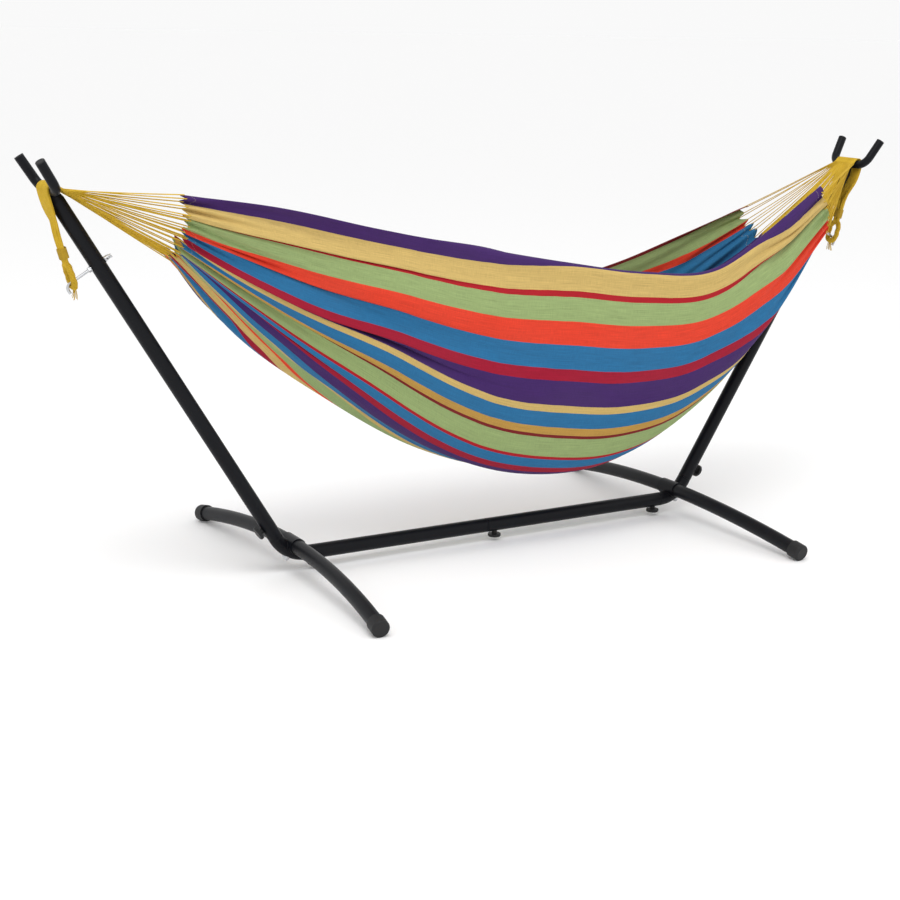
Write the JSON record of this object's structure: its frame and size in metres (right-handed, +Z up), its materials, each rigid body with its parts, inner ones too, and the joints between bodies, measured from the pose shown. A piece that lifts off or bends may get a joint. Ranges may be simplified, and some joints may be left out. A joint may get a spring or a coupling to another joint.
{
  "type": "hammock on stand",
  "caption": "Striped cloth hammock bed hung by fans of strings from forked uprights of a tubular steel floor stand, with arched feet, clamp knobs and hook bolts that hold the tied-off ropes.",
  "frame": {"origin": "on the floor under the middle of the stand", "axes": "+X along the hammock towards the end on the right in the picture, +Y away from the camera's side, +Z up"},
  "size_m": [2.7724, 1.194, 1.1767],
  "materials": {
    "stand_coat": "semi-gloss powder coat",
    "foot_coat": "semi-gloss powder coat",
    "cap_plastic": "moulded matt",
    "knob_plastic": "moulded matt",
    "zinc_steel": "bright zinc",
    "rope_cotton": "twisted cotton",
    "whipping_thread": "wound thread",
    "bed_cloth": "woven cotton with stripes along the bed"
  },
  "bodies": {
    "stand": {"upright_left": "stand_coat", "upright_right": "stand_coat", "beam_left": "stand_coat", "beam_right": "stand_coat", "corner_left": "stand_coat", "corner_right": "stand_coat", "foot_left": "foot_coat", "foot_right": "foot_coat", "foot_cap_near_left": "cap_plastic", "foot_cap_near_right": "cap_plastic", "foot_cap_far_left": "cap_plastic", "foot_cap_far_right": "cap_plastic", "fork_left": "stand_coat", "fork_right": "stand_coat", "fork_tip_plugs": "cap_plastic", "weld_nuts": "zinc_steel", "foot_nuts": "zinc_steel", "foot_saddles": "zinc_steel", "foot_bolts": "zinc_steel", "hook_bolt_left": "zinc_steel", "hook_bolt_right": "zinc_steel", "hook_nuts": "zinc_steel", "hook_washers": "zinc_steel", "rope_left": "rope_cotton", "rope_right": "rope_cotton", "rope_eye_left": "rope_cotton", "rope_eye_right": "rope_cotton", "whipping_left": "whipping_thread", "whipping_right": "whipping_thread"},
    "hammock": {"bed": "bed_cloth", "strings_left": "rope_cotton", "strings_right": "rope_cotton"},
    "knob_middle": {"knob_middle": "knob_plastic", "stud_middle": "zinc_steel"},
    "knob_beam_left": {"knob_beam_left": "knob_plastic", "stud_beam_left": "zinc_steel"},
    "knob_beam_right": {"knob_beam_right": "knob_plastic", "stud_beam_right": "zinc_steel"},
    "knob_upright_left": {"knob_upright_left": "knob_plastic", "stud_upright_left": "zinc_steel"},
    "knob_upright_right": {"knob_upright_right": "knob_plastic", "stud_upright_right": "zinc_steel"},
    "wing_nut_left": {"wing_nut_left": "zinc_steel"},
    "wing_nut_right": {"wing_nut_right": "zinc_steel"}
  },
  "joints": [
    {"name": "hammock_swing", "type": "hinge", "parent": "stand", "child": "hammock", "pos_m": [0, -0.0021, 1.11], "axis": [1, 0, 0], "range_deg": [-20, 20]},
    {"name": "knob_middle_turn", "type": "hinge", "parent": "stand", "child": "knob_middle", "pos_m": [0.004, 0, 0.02], "axis": [0, 0, -1], "continuous": true},
    {"name": "knob_beam_left_turn", "type": "hinge", "parent": "stand", "child": "knob_beam_left", "pos_m": [-0.598, 0, 0.02], "axis": [0, 0, -1], "continuous": true},
    {"name": "knob_beam_right_turn", "type": "hinge", "parent": "stand", "child": "knob_beam_right", "pos_m": [0.598, 0, 0.02], "axis": [0, 0, -1], "continuous": true},
    {"name": "knob_upright_left_turn", "type": "hinge", "parent": "stand", "child": "knob_upright_left", "pos_m": [-0.76733, 0, 0.12783], "axis": [-0.8508, 0, -0.5255], "continuous": true},
    {"name": "knob_upright_right_turn", "type": "hinge", "parent": "stand", "child": "knob_upright_right", "pos_m": [0.76733, 0, 0.12783], "axis": [0.8508, 0, -0.5255], "continuous": true},
    {"name": "wing_nut_left_turn", "type": "hinge", "parent": "stand", "child": "wing_nut_left", "pos_m": [-1.1865, 0, 0.915], "axis": [-0.8508, 0, -0.5255], "continuous": true},
    {"name": "wing_nut_right_turn", "type": "hinge", "parent": "stand", "child": "wing_nut_right", "pos_m": [1.1865, 0, 0.915], "axis": [0.8508, 0, -0.5255], "continuous": true}
  ]
}
